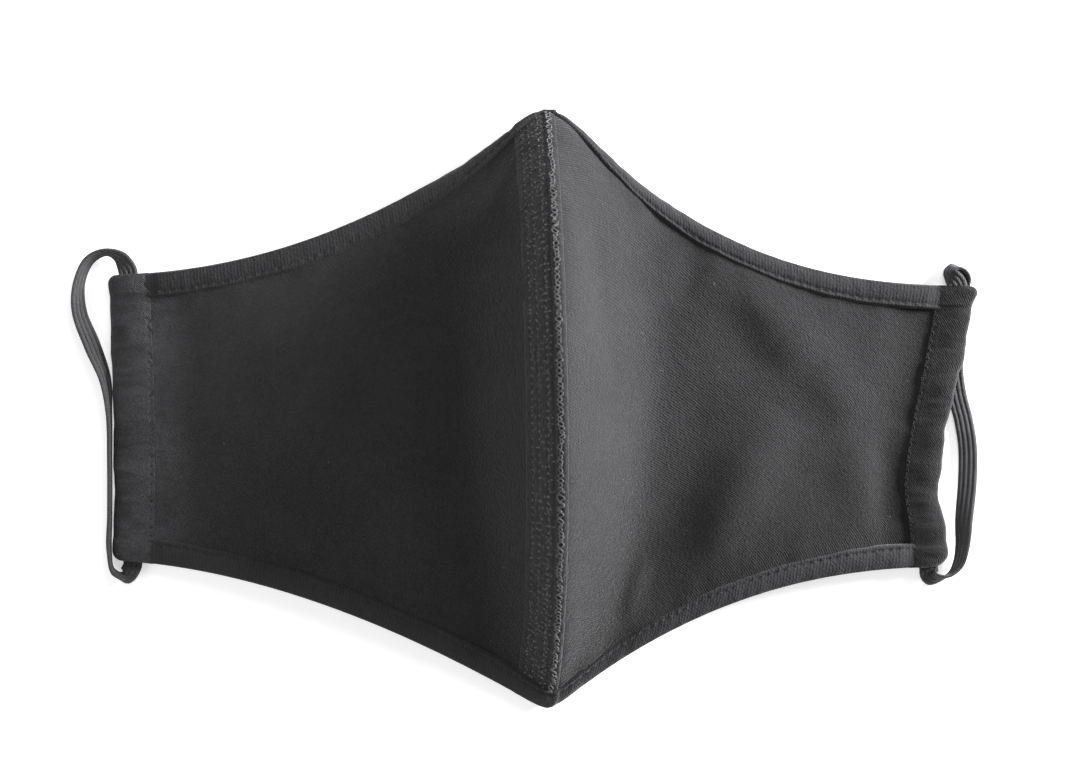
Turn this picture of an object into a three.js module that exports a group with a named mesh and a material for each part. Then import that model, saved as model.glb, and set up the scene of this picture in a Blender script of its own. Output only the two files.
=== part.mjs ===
// A contoured cloth face mask with two ear loops, lying open on a surface with its outer face up.
// Millimetres. +Z is up, +Y points to the nose edge and +X to the right. The cloth's outer face is a
// surface in two shares: across, from -1 at the left ear edge through 0 at the centre ridge to 1 at the
// right one, and along, from -1 at the chin edge to 1 at the nose edge. Every sewn piece is placed on it.
import * as THREE from "three";

// Driving dimensions
const REST = 2.5; // outer face where the cloth lies flat
const SHOULDER = 11; // rise of the panels' flatter part, from the ears to the foot of the tent
const TENT = { height: 27.5, width: 21, flare: 8, elbow: 8 }; // the steep middle that the centre seam holds up
const CLOTH = 1.2; // two layers sewn as one
const GAP = 0.3; // between neighbouring pieces
const SEAM = { left: 9.3, right: 1.2, proud: 0.5 }; // the stitched band, either side of the ridge
const BINDING = { width: 5.6, cloth: 0.6, past: 0.8, slot: 1 }; // the folded strip on a long edge
const CASING = { start: 0.905, wall: 1, height: 3.8 }; // the ear channel, from this share across
const ELASTIC = { width: 5, thickness: 1, steps: 78 };

// Shape of the open mask
const END_TURN = THREE.MathUtils.degToRad(84); // how far the ridge has turned down at its tips
const RIDGE_ROUNDING = 0.018; // as a share of the half width
const RIDGE_BOW = { start: 0.9, lean: 4.3, toChin: 0.25 }; // the ridge leans right, most below its middle
const EDGES = {
  // tip, corner: centre to the cloth's edge at the ridge and at the ear. rounding: of the tip, as a
  // share of the half width. sweep: how hollow the edge runs in plan. arch: how far it rises between
  // tip and ear. full: the ridge's end, 1 upright and 2 at a slant.
  nose: {
    tip: 77.2,
    rounding: 0.045,
    arch: 5,
    full: 1.45,
    fullAtEar: 1.8,
    left: { corner: 34.8, sweep: 2.2 },
    right: { corner: 31.8, sweep: 2.7 },
  },
  chin: {
    tip: 77.8,
    rounding: 0.02,
    arch: 4,
    full: 2.3,
    fullAtEar: 2,
    left: { corner: 39, sweep: 1.8 },
    right: { corner: 40.6, sweep: 2.32 },
  },
};
const NOSE_ROLL = { width: 0.17, swell: 0.04, at: 0.86, spread: 0.12, tuck: 0.032 }; // its tip turns under
const EAR_EDGES = {
  left: [
    { y: -42, x: -113.8 },
    { y: -20, x: -113.4 },
    { y: 10, x: -113.8 },
    { y: 37, x: -115 },
  ],
  right: [
    { y: -42, x: 106.6 },
    { y: -32, x: 106.4 },
    { y: -20, x: 104.6 },
    { y: -8, x: 105.8 },
    { y: 10, x: 109.8 },
    { y: 33, x: 115 },
  ],
};
const CORNER_LIFT = 1.6; // the right nose corner lies on the ear loop
const FOLDS = [
  // soft dents and swells of the panels: a rise of this height along a line, fading over a width
  { from: [52, 40], to: [68, 10], width: 7.5, rise: 2 },
  { from: [62, 19], to: [84, -3], width: 7, rise: 1.6 },
  { from: [49, 29], to: [56, 8], width: 6, rise: -0.8 },
  { from: [61, 0], to: [38, -50], width: 8, rise: 2.6 },
  { from: [47, 6], to: [30, -42], width: 7, rise: -0.7 },
  { from: [40, 48], to: [36, 28], width: 4, rise: -1.2 },
  { from: [95, -8], to: [92, -32], width: 5, rise: -2 },
  { from: [80, -4], to: [88, -34], width: 5.5, rise: 1.3 },
  { from: [25, -36], to: [20, -58], width: 3, rise: 1.5 },
  { from: [13, 60], to: [19, 4], width: 3.5, rise: -0.9 },
  { from: [-6, 70], to: [-15, 50], width: 2, rise: 1 },
  { from: [-10, 53], to: [-32, 43], width: 7, rise: 2.8 },
  { from: [-36, 28], to: [-76, 4], width: 10, rise: 1.1 },
  { from: [-44, 5], to: [-86, -17], width: 9, rise: 1 },
];

// Free stretch of each ear loop, from the nose mouth of its casing round to the chin mouth. across is
// the direction of the band's width: level where it lies flat, upright where it stands on its edge.
const LOOP_ROUTES = {
  left: [
    { at: [-109.8, 37, 1.9], across: [1, 0, 0] },
    { at: [-111.6, 40.2, 2.7], across: [0.8, 0.3, 0.6] },
    { at: [-115.2, 41.6, 3.2], across: [0.1, 0.3, 1] },
    { at: [-119.6, 39.6, 3], across: [-0.3, 0.3, 1] },
    { at: [-122.4, 33.5, 2.8], across: [-0.5, 0.1, 0.9] },
    { at: [-122.4, 26, 2.6], across: [-0.7, 0, 0.7] },
    { at: [-119, 17, 2.5], across: [-0.8, -0.3, 0.6] },
    { at: [-115.6, 8, 2.6], across: [-0.5, -0.2, 0.9] },
    { at: [-114.55, -1, 2.8], across: [-0.1, 0, 1] },
    { at: [-114.35, -14, 2.8], across: [0, 0, 1] },
    { at: [-114.35, -28, 2.8], across: [0, 0, 1] },
    { at: [-114.5, -37, 2.8], across: [0, -0.1, 1] },
    { at: [-113.4, -42.6, 2.9], across: [0.3, -0.5, 1] },
    { at: [-110.4, -43.9, 2.4], across: [1, -0.3, 0.2] },
    { at: [-108.4, -41, 1.9], across: [1, 0, 0] },
  ],
  right: [
    { at: [109, 33.6, 3.6], across: [1, 0, 0] },
    { at: [107.9, 35, 3.5], across: [0.85, 0.05, 0.5] },
    { at: [107.2, 36.5, 3.2], across: [0.5, -0.1, 0.85] },
    { at: [108.5, 37.7, 2.9], across: [0.3, -0.3, 0.9] },
    { at: [110.1, 37, 2.6], across: [0.5, -0.1, 0.85] },
    { at: [110.8, 35.2, 1.6], across: [0.85, 0, 0.5] },
    { at: [110.4, 32.4, 0.7], across: [1, 0, 0] },
    { at: [109.9, 28, 0.62], across: [1, 0, 0] },
    { at: [109, 20, 0.6], across: [1, 0, 0] },
    { at: [108.7, 11, 0.6], across: [1, 0, 0] },
    { at: [109.6, 4, 0.66], across: [1, 0, 0] },
    { at: [111.3, -3, 0.85], across: [1, 0, 0] },
    { at: [112.3, -10, 1.05], across: [1, 0, 0.1] },
    { at: [112.2, -19, 1.3], across: [1, 0, 0.2] },
    { at: [111.2, -29, 2], across: [0.9, 0, 0.45] },
    { at: [110.7, -36, 2.7], across: [0.65, -0.15, 0.75] },
    { at: [109.6, -40.6, 2.9], across: [0.4, -0.25, 0.88] },
    { at: [107.4, -43.4, 2.9], across: [0.05, -0.05, 1] },
    { at: [104.3, -44.4, 2.8], across: [0.3, 0.4, 0.8] },
    { at: [102.1, -43.6, 2.1], across: [1, 0.2, 0.15] },
    { at: [101.9, -41.9, 1.9], across: [1, 0, 0] },
  ],
};

const CLOTH_COLOUR = 0x26272a;
const THREAD_EDGE_COLOUR = 0x2b2c2f;
const ELASTIC_COLOUR = 0x303134;

const { lerp, smoothstep } = THREE.MathUtils;
const sideOf = (across) => (across < 0 ? "left" : "right");
const edgeOf = (along) => (along < 0 ? EDGES.chin : EDGES.nose);
const softened = (value, radius) => Math.hypot(value, radius) - radius;
const bell = (distance, width) => Math.exp(-((distance / width) ** 2));

/** A smooth curve through a table's rows: x as a function of y. */
function curveThrough(rows) {
  const curve = new THREE.CubicInterpolant(rows.map((r) => r.y), rows.map((r) => r.x), 1);
  return (y) => curve.evaluate(y)[0];
}
const earX = { left: curveThrough(EAR_EDGES.left), right: curveThrough(EAR_EDGES.right) };

/** How far the nose or chin edge is from the centre line at this share across. */
function reach(across, along) {
  const { tip, rounding } = edgeOf(along);
  const { corner, sweep } = edgeOf(along)[sideOf(across)];
  const rolled = NOSE_ROLL.swell * bell(along - NOSE_ROLL.at, NOSE_ROLL.spread);
  const tucked = NOSE_ROLL.tuck * smoothstep(along, 0.9, 1);
  const roll = 1 + bell(across, NOSE_ROLL.width) * (rolled - tucked);
  return (corner + (tip - corner) * (1 - softened(across, rounding)) ** sweep) * roll;
}

/** How far the loop under the right nose corner lifts the cloth. */
function cornerLift(across, along) {
  return CORNER_LIFT * smoothstep(across, 0.6, CASING.start) * smoothstep(along, -0.5, 0.15);
}

/** The rise of all folds at a place in plan. */
function foldRise(x, y) {
  const place = new THREE.Vector3(x, y, 0);
  let rise = 0;
  for (const fold of FOLDS) {
    const line = new THREE.Line3(new THREE.Vector3(...fold.from, 0), new THREE.Vector3(...fold.to, 0));
    const share = line.closestPointToPointParameter(place, true);
    const away = line.at(share, new THREE.Vector3()).distanceTo(place);
    rise += fold.rise * bell(away, fold.width) * (1 - (2 * share - 1) ** 2);
  }
  return rise;
}

/** A point of the cloth's outer face. */
function outerFace(across, along) {
  const out = Math.abs(across);
  const turn = along * END_TURN;
  const up = Math.sin(turn) / Math.sin(END_TURN);
  const y = up * reach(across, along);
  const bow = RIDGE_BOW.start + RIDGE_BOW.lean * Math.cos(turn) * (1 - RIDGE_BOW.toChin * up);
  const ear = earX[sideOf(across)](up * edgeOf(along)[sideOf(across)].corner);
  const x = lerp(bow, ear, out);
  const edge = edgeOf(along);
  const rest = REST + cornerLift(across, along);
  const low = rest + edge.arch * 4 * out * (1 - out);
  const slope = softened(across, RIDGE_ROUNDING);
  const fromRidge = (slope * Math.abs(ear)) / (TENT.width + TENT.flare * along);
  const tent = Math.log1p(Math.exp(TENT.elbow * (1 - fromRidge))) / Math.log1p(Math.exp(TENT.elbow));
  const crown = rest + SHOULDER * (1 - slope * slope) + TENT.height * tent;
  const full = lerp(edge.full, edge.fullAtEar, out);
  const end = Math.cos(END_TURN) ** full;
  const z = lerp(low, crown, (Math.cos(turn) ** full - end) / (1 - end));
  const fade = (1 - up ** 4) * (1 - smoothstep(out, 0.8, CASING.start));
  return new THREE.Vector3(x, y, z + fade * foldRise(x, y));
}

/** The outer face's unit normal, from points a small step apart. */
function normalAt(across, along) {
  const step = 1e-3;
  const alongLow = Math.min(along, 1 - step);
  const sideways = outerFace(across + step, along).sub(outerFace(across - step, along));
  const upwards = outerFace(across, alongLow + step).sub(outerFace(across, Math.max(alongLow - step, -1)));
  return sideways.cross(upwards).normalize();
}

/** The point this far off the outer face, along its normal. */
function offFace(across, along, offset) {
  return outerFace(across, along).addScaledVector(normalAt(across, along), offset);
}

/** The share along at which the face is this many millimetres in from the nose (1) or chin (-1) edge. */
function alongAtInset(across, end, inset) {
  const step = 0.002;
  let along = end;
  let before = outerFace(across, along);
  let walked = 0;
  while (walked < inset) {
    const next = outerFace(across, along - end * step);
    const length = next.distanceTo(before);
    if (walked + length >= inset) return along - (end * step * (inset - walked)) / length;
    walked += length;
    along -= end * step;
    before = next;
  }
  return along;
}

/** Steps between two values, ends included. */
function steps(from, to, count) {
  return Array.from({ length: count + 1 }, (_, i) => lerp(from, to, i / count));
}

/** Triangles as a geometry, from a list of points and index triples. */
function geometryOf(points, triangles) {
  const geometry = new THREE.BufferGeometry().setFromPoints(points);
  geometry.setIndex(triangles.flat());
  geometry.computeVertexNormals();
  return geometry;
}

/** A closed wall between two grids of points, grid[row][column]: outer faces up, inner faces down. */
function wall(outer, inner) {
  const rows = outer.length;
  const columns = outer[0].length;
  const at = (layer, i, j) => layer * rows * columns + i * columns + j;
  const triangles = [];
  const quad = (a, b, c, d) => triangles.push([a, b, c], [a, c, d]);
  for (let i = 0; i < rows - 1; i++) {
    for (let j = 0; j < columns - 1; j++) {
      quad(at(0, i, j), at(0, i, j + 1), at(0, i + 1, j + 1), at(0, i + 1, j));
      quad(at(1, i, j), at(1, i + 1, j), at(1, i + 1, j + 1), at(1, i, j + 1));
    }
    quad(at(0, i, 0), at(0, i + 1, 0), at(1, i + 1, 0), at(1, i, 0));
    quad(at(0, i + 1, columns - 1), at(0, i, columns - 1), at(1, i, columns - 1), at(1, i + 1, columns - 1));
  }
  for (let j = 0; j < columns - 1; j++) {
    quad(at(0, 0, j + 1), at(0, 0, j), at(1, 0, j), at(1, 0, j + 1));
    quad(at(0, rows - 1, j), at(0, rows - 1, j + 1), at(1, rows - 1, j + 1), at(1, rows - 1, j));
  }
  return geometryOf([...outer.flat(), ...inner.flat()], triangles);
}

/** A loft through rings of points, with an optional bore. ring(k) gives the outer ring, bore(k) the hole's.
 *  outline and hole are the same rings as flat shapes, counter-clockwise, which the end caps follow. */
function loft(count, ring, outline, bore, hole, closed = false) {
  const points = [];
  const triangles = [];
  const size = outline.length;
  const holeSize = hole ? hole.length : 0;
  const stride = size + holeSize;
  for (let k = 0; k < count; k++) points.push(...ring(k), ...(bore ? bore(k) : []));
  const skin = (start, length, outwards) => {
    for (let k = 0; k < (closed ? count : count - 1); k++) {
      const next = (k + 1) % count;
      for (let i = 0; i < length; i++) {
        const j = (i + 1) % length;
        const [a, b] = [k * stride + start + i, k * stride + start + j];
        const [c, d] = [next * stride + start + j, next * stride + start + i];
        triangles.push(outwards ? [a, b, c] : [a, c, b], outwards ? [a, c, d] : [a, d, c]);
      }
    }
  };
  skin(0, size, true);
  if (hole) skin(size, holeSize, false);
  if (!closed) {
    const flat = (shape) => shape.map(([u, v]) => new THREE.Vector2(u, v));
    const faces = THREE.ShapeUtils.triangulateShape(flat(outline), hole ? [flat(hole)] : []);
    const last = (count - 1) * stride;
    for (const [a, b, c] of faces) triangles.push([a, c, b], [last + a, last + b, last + c]);
  }
  return geometryOf(points, triangles);
}

// Shares across at which the cloth is cut into facets, closer together near the ridge.
const seamLeft = -SEAM.left / -earX.left(0);
const seamRight = SEAM.right / earX.right(0);
const gapShare = GAP / earX.right(0);
const crowded = (from, to, count) => steps(0, 1, count).map((u) => lerp(from, to, u ** 1.3));
const LEFT_COLUMNS = crowded(seamLeft, -CASING.start, 15).reverse();
const SEAM_COLUMNS = [...steps(seamLeft + gapShare, 0, 3), seamRight - gapShare];
const RIGHT_COLUMNS = crowded(seamRight, CASING.start, 16);
const MIDDLE_ROWS = steps(0, 1, 16);
const SLOT_INSETS = [BINDING.slot + GAP, 2.8, BINDING.width]; // rows that lie inside a binding

/** The shares along of one column's rows, from the chin edge to the nose edge. */
function rowsOf(across) {
  const chin = SLOT_INSETS.map((inset) => alongAtInset(across, -1, inset));
  const nose = SLOT_INSETS.map((inset) => alongAtInset(across, 1, inset)).reverse();
  const middle = MIDDLE_ROWS.map((u) => lerp(chin[2], nose[0], u)).slice(1, -1);
  return [...chin, ...middle, ...nose];
}

/** A cloth wall over these columns. proud(row, rows) is how far both faces stand out past the cloth's. */
function clothWall(columns, proud = () => 0) {
  const grid = (offset) => {
    const byColumn = columns.map((across) => {
      const rows = rowsOf(across);
      return rows.map((along, row) => offFace(across, along, offset(proud(row, rows.length))));
    });
    return byColumn[0].map((_, row) => byColumn.map((column) => column[row]));
  };
  return wall(grid((stand) => stand), grid((stand) => -CLOTH - stand));
}

/** The stitched band over the centre seam: thicker than the cloth, but not where a binding holds it. */
function seamGeometry() {
  const held = SLOT_INSETS.length;
  return clothWall(SEAM_COLUMNS, (row, rows) => (row < held || row >= rows - held ? 0 : SEAM.proud));
}

/** A strip folded over the nose (1) or chin (-1) edge: a U in section, with the cloth's edge in its slot. */
function bindingGeometry(end) {
  const inside = GAP;
  const outside = GAP + BINDING.cloth;
  // [inset from the edge, offset from the outer face], round the section
  const section = [
    [BINDING.width, inside],
    [BINDING.width, outside],
    [2.8, outside],
    [0.3, outside],
    [-BINDING.past, 0.2],
    [-BINDING.past, -CLOTH - 0.2],
    [0.3, -CLOTH - outside],
    [2.8, -CLOTH - outside],
    [BINDING.width, -CLOTH - outside],
    [BINDING.width, -CLOTH - inside],
    [2.8, -CLOTH - inside],
    [BINDING.slot, -CLOTH - inside],
    [BINDING.slot, inside],
    [2.8, inside],
  ];
  const outline = end > 0 ? section.map(([u, v]) => [u, v]).reverse() : section;
  const stations = [...LEFT_COLUMNS, ...SEAM_COLUMNS, ...RIGHT_COLUMNS];
  const ring = (k) =>
    outline.map(([inset, offset]) => {
      const across = stations[k];
      if (inset >= 0) return offFace(across, alongAtInset(across, end, inset), offset);
      const edge = outerFace(across, end);
      const outwards = edge.clone().sub(outerFace(across, alongAtInset(across, end, 0.5))).normalize();
      return offFace(across, end, offset).addScaledVector(outwards, -inset);
    });
  return loft(stations.length, ring, end > 0 ? outline.map(([u, v]) => [-u, v]) : outline);
}

/** Height of an ear casing's flat underside at this share along. */
const casingFloor = (side, along) => (side > 0 ? cornerLift(1, along) : 0);

/** A point of an ear casing: a share of its width from the panel to the ear edge, and a height. */
function casingPoint(side, along, share, height) {
  const start = CASING.start + gapShare;
  const across = side * lerp(start, 1, share);
  const stretch = 1 + BINDING.past / edgeOf(along)[sideOf(side)].corner;
  const face = outerFace(across, along);
  return new THREE.Vector3(face.x, face.y * stretch, casingFloor(side, along) + height);
}

/** The folded channel at an ear edge, open at both mouths, that the elastic runs through. */
function casingGeometry(side) {
  const top = CASING.height;
  const middle = top / 2;
  // [share of the width, height]
  const outline = [
    [0, 0.9],
    [0.08, 0],
    [0.85, 0],
    [0.96, 0.7],
    [1, middle],
    [0.96, top - 0.7],
    [0.85, top],
    [0.08, top],
    [0, top - 0.9],
  ];
  const hole = [
    [0.1, middle],
    [0.15, CASING.wall],
    [0.82, CASING.wall],
    [0.9, middle],
    [0.82, top - CASING.wall],
    [0.15, top - CASING.wall],
  ];
  const stations = steps(-1, 1, 20);
  if (side > 0) stations.reverse();
  const placed = (shape) => (k) => shape.map(([share, height]) => casingPoint(side, stations[k], share, height));
  return loft(stations.length, placed(outline), outline, placed(hole), hole);
}

/** One ear loop: a closed flat band, out of one mouth of the casing, into the other and back through it. */
function loopGeometry(side) {
  const channel = steps(-0.96, 0.96, 10).map((along) => ({
    at: casingPoint(side, along, 0.5, CASING.height / 2).toArray(),
    across: [1, 0, 0],
  }));
  const route = [...LOOP_ROUTES[sideOf(side)], ...channel];
  const points = (key) => route.map((row) => new THREE.Vector3(...row[key]));
  const line = new THREE.CatmullRomCurve3(points("at"), true, "centripetal");
  const width = new THREE.CatmullRomCurve3(points("across"), true, "catmullrom", 0.5);
  const [w, h] = [ELASTIC.width / 2, ELASTIC.thickness / 2];
  const section = [
    [w, -h * 0.5],
    [w, h * 0.5],
    [w * 0.85, h],
    [-w * 0.85, h],
    [-w, h * 0.5],
    [-w, -h * 0.5],
    [-w * 0.85, -h],
    [w * 0.85, -h],
  ];
  const count = ELASTIC.steps;
  const ring = (k) => {
    const centre = line.getPoint(k / count);
    const ahead = line.getTangent(k / count);
    const sideways = width.getPoint(k / count);
    sideways.addScaledVector(ahead, -sideways.dot(ahead)).normalize();
    const face = ahead.clone().cross(sideways).normalize();
    return section.map(([u, v]) => centre.clone().addScaledVector(sideways, u).addScaledVector(face, v));
  };
  return loft(count, ring, section, null, null, true);
}

/** A named mesh in its own material. */
function piece(name, geometry, color, roughness) {
  const mesh = new THREE.Mesh(geometry, new THREE.MeshStandardMaterial({ color, roughness, metalness: 0 }));
  mesh.name = name;
  return mesh;
}

const mask = new THREE.Group();
mask.add(
  piece("left_panel", clothWall(LEFT_COLUMNS), CLOTH_COLOUR, 0.95),
  piece("right_panel", clothWall(RIGHT_COLUMNS), CLOTH_COLOUR, 0.95),
  piece("centre_seam", seamGeometry(), THREAD_EDGE_COLOUR, 0.9),
  piece("nose_binding", bindingGeometry(1), CLOTH_COLOUR, 0.9),
  piece("chin_binding", bindingGeometry(-1), CLOTH_COLOUR, 0.9),
  piece("left_casing", casingGeometry(-1), CLOTH_COLOUR, 0.95),
  piece("right_casing", casingGeometry(1), CLOTH_COLOUR, 0.95),
  piece("left_ear_loop", loopGeometry(-1), ELASTIC_COLOUR, 0.8),
  piece("right_ear_loop", loopGeometry(1), ELASTIC_COLOUR, 0.8),
);

export default mask;
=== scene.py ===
"""A charcoal cloth face mask lying open, outer face up, with a flat elastic loop at each ear edge.

Sizes are millimetres until a mesh is made, and metres in Blender. +Z is up, +Y points to the nose
edge and +X to the right. The cloth's outer face is one surface in two shares: across, from -1 at the
left ear edge through 0 at the ridge to 1 at the right one, and along, from -1 at the chin edge to 1
at the nose edge. Every sewn piece is laid on that surface.
"""

import logging
import math
from dataclasses import dataclass, field
from enum import Enum
from typing import NamedTuple, Sequence

import bpy
import numpy as np
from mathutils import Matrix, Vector

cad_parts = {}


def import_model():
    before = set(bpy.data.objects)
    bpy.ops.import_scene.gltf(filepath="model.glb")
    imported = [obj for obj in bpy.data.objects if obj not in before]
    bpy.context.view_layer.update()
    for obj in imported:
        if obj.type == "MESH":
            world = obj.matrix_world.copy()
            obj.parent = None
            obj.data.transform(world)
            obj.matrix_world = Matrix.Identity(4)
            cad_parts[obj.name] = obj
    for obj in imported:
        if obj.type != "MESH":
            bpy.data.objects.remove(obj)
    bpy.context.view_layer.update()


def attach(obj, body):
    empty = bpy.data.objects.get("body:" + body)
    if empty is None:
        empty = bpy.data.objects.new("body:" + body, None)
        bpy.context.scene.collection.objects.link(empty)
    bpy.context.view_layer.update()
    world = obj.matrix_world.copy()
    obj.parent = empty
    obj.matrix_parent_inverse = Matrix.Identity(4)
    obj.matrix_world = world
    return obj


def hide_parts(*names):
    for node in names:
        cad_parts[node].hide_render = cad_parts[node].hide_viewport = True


log = logging.getLogger("face_mask")

MM = 0.001
TURN = 2 * math.pi
SAMPLES = 3000

Array = np.ndarray
Piece = bpy.types.Object
Socket = bpy.types.NodeSocket
Sockets = bpy.types.bpy_prop_collection

# Width of one rib of the elastic, in metres.
BRAID_RIB = 0.00125

LINT_COLOUR = (0.35, 0.35, 0.36, 1)
SHEEN_TINT = (0.8, 0.8, 0.82, 1)
WHITE = (1, 1, 1, 1)


class Way(Enum):
    """A way along an axis, as its sign."""

    @property
    def label(self) -> str:
        """What it is called in the name of a piece."""
        return self.name.lower()


class Side(Way):
    """An ear side of the mask, along X."""

    LEFT = -1
    RIGHT = 1


class Edge(Way):
    """A long edge of the mask, along Y."""

    CHIN = -1
    NOSE = 1


class Weave(Enum):
    """How a cloth's or cord's surface is made."""

    TWILL = "twill"
    RIBBED = "ribbed"
    BRAIDED = "braided"
    TWISTED = "twisted"


# Curves, noise and lengths, as whole arrays


def lerp(low: Array, high: Array, share: Array) -> Array:
    """The value this share of the way from low to high."""
    return low + (high - low) * share


def smoothstep(value: Array, low: float, high: float) -> Array:
    """0 below low, 1 above high, and 3t^2 - 2t^3 between them."""
    share = np.clip((value - low) / (high - low), 0, 1)
    return share * share * (3 - 2 * share)


def softened(value: Array, radius: float) -> Array:
    """The size of a value, with its corner at zero rounded: the root of v^2 + r^2, less r."""
    return np.hypot(value, radius) - radius


def bell(distance: Array, width: float) -> Array:
    """A hump of height 1: e to the power of -(distance / width)^2."""
    return np.exp(-((distance / width) ** 2))


def unit(vectors: Array) -> Array:
    """Vectors of length 1 in the same directions."""
    return vectors / np.linalg.norm(vectors, axis=-1, keepdims=True)


def value_noise(x: Array, y: Array, cell: float, seed: int) -> Array:
    """Smooth noise: random heights on a square lattice, joined by smooth steps.

    Args:
        x: first coordinate.
        y: second coordinate, of a shape that goes with the first.
        cell: side of one lattice square, in the coordinates' unit.
        seed: which lattice.

    Returns:
        Heights from -1 to 1, one for each pair.
    """
    side = 61
    lattice = np.random.default_rng(seed).uniform(-1, 1, (side, side))
    u, v = np.broadcast_arrays(x / cell, y / cell)
    i, j = np.floor(u).astype(int), np.floor(v).astype(int)
    s, t = smoothstep(u - i, 0, 1), smoothstep(v - j, 0, 1)
    low = lerp(lattice[i % side, j % side], lattice[(i + 1) % side, j % side], s)
    high = lerp(lattice[i % side, (j + 1) % side], lattice[(i + 1) % side, (j + 1) % side], s)
    return lerp(low, high, t)


def lengths_along(points: Array, axis: int = 0) -> Array:
    """Distance walked from the first point along one axis of a grid of points.

    Args:
        points: grid of points, with x, y and z last.
        axis: the axis to walk along.

    Returns:
        The grid's shape without the last axis, starting from 0.
    """
    walked = np.cumsum(np.linalg.norm(np.diff(points, axis=axis), axis=-1), axis=axis)
    start = np.zeros_like(np.take(walked, [0], axis=axis))
    return np.concatenate([start, walked], axis=axis)


def evenly_spaced(line: Array, at: Array) -> Array:
    """Rows of a dense line at these distances along its first three columns."""
    walked = lengths_along(line[:, :3])
    return np.stack([np.interp(at, walked, column) for column in line.T], axis=-1)


def paired(first: Array, second: Array) -> Array:
    """Two lengths at each point of a grid, side by side."""
    return np.stack(np.broadcast_arrays(first, second), axis=-1)


def needle_holes(at: Array, pitch: float) -> Array:
    """How deep a row of stitches pulls the cloth in: 1 at each needle hole and 0.2 midway."""
    return 0.6 + 0.4 * np.cos(TURN * at / pitch)


class SmoothCurve:
    """A smooth curve through rows of a table: on each span a cubic, with the slope at a row taken
    from the two spans beside it, each weighted by the other's length."""

    def __init__(self, at: Sequence[float], values: Sequence) -> None:
        """Args:
        at: rising positions, one a row.
        values: a number or a list of numbers for each row.
        """
        self.at = np.asarray(at, float)
        self.values = np.asarray(values, float).reshape(len(self.at), -1)
        self.step = np.diff(self.at)
        rise = np.diff(self.values, axis=0) / self.step[:, None]
        before, after = self.step[:-1, None], self.step[1:, None]
        inner = (rise[:-1] * after + rise[1:] * before) / (before + after)
        self.slope = np.concatenate([rise[:1], inner, rise[-1:]])

    def __call__(self, at: Array) -> Array:
        """The curve's values at these positions, held still past both ends."""
        at = np.asarray(at, float)
        span = np.clip(np.searchsorted(self.at, at, side="right") - 1, 0, len(self.step) - 1)
        t = np.clip((at - self.at[span]) / self.step[span], 0, 1)[..., None]
        step = self.step[span][..., None]
        value = (
            (1 + 2 * t) * (1 - t) ** 2 * self.values[span]
            + t * (1 - t) ** 2 * step * self.slope[span]
            + t * t * (3 - 2 * t) * self.values[span + 1]
            + t * t * (t - 1) * step * self.slope[span + 1]
        )
        return value[..., 0] if self.values.shape[1] == 1 else value


# Meshes


def grid_quads(rows: int, columns: int, wrap: bool = False) -> Array:
    """Corner indices of the quads of a grid, facing up where columns run right and rows run up.

    Args:
        rows: points in each column.
        columns: points in each row.
        wrap: whether the last column joins the first.

    Returns:
        Four indices a quad.
    """
    index = np.arange(rows * columns).reshape(rows, columns)
    if wrap:
        index = np.hstack([index, index[:, :1]])
    corners = [index[:-1, :-1], index[:-1, 1:], index[1:, 1:], index[1:, :-1]]
    return np.stack(corners, axis=-1).reshape(-1, 4)


def new_object(name: str, data: bpy.types.ID, place: tuple = (0, 0, 0)) -> Piece:
    """A new object in the scene, at this place."""
    item = bpy.data.objects.new(name, data)
    item.location = place
    bpy.context.scene.collection.objects.link(item)
    return item


def mesh_piece(name: str, points: Array, faces: list, lie: Array) -> Piece:
    """A smooth-shaded mesh object at the origin.

    Args:
        name: the object's name.
        points: vertices in millimetres.
        faces: vertex indices of each face, counter-clockwise from outside.
        lie: where each vertex lies on its own cloth, two lengths in millimetres.

    Returns:
        The new object, in the scene.
    """
    mesh = bpy.data.meshes.new(name)
    mesh.from_pydata((points.reshape(-1, 3) * MM).tolist(), [], faces)
    mesh.polygons.foreach_set("use_smooth", np.ones(len(mesh.polygons), bool))
    on_cloth = np.zeros((len(mesh.vertices), 3), np.float32)
    on_cloth[:, :2] = lie.reshape(-1, 2) * MM
    mesh.attributes.new("lie", "FLOAT_VECTOR", "POINT").data.foreach_set("vector", on_cloth.ravel())
    mesh.update()
    return new_object(name, mesh)


def two_faced(
    name: str, outer: Array, inner: Array, skin: Array, rims: Sequence[Array], lie: Array
) -> Piece:
    """A closed body of one skin laid on outer and on inner points, joined round each rim.

    Args:
        name: the object's name.
        outer: outer points.
        inner: inner points, the same shape.
        skin: quads of the outer points.
        rims: closed rounds of outer points, each with the open side on its right.
        lie: where each outer point lies on the cloth.

    Returns:
        The new object.
    """
    below = outer.size // 3
    bands = []
    for rim in rims:
        after = np.roll(rim, -1)
        bands.append(np.stack([rim, rim + below, after + below, after], axis=-1))
    faces = np.concatenate([skin, skin[:, ::-1] + below, *bands]).tolist()
    points = np.concatenate([outer.reshape(-1, 3), inner.reshape(-1, 3)])
    return mesh_piece(name, points, faces, np.concatenate([lie.reshape(-1, 2)] * 2))


def cloth_wall(name: str, outer: Array, inner: Array, lie: Array) -> Piece:
    """A closed wall between an outer and an inner grid of points, joined round the rim."""
    rows, columns = outer.shape[:2]
    index = np.arange(rows * columns).reshape(rows, columns)
    rim = np.concatenate([index[0, :-1], index[:-1, -1], index[-1, :0:-1], index[:0:-1, 0]])
    return two_faced(name, outer, inner, grid_quads(rows, columns), [rim], lie)


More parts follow.
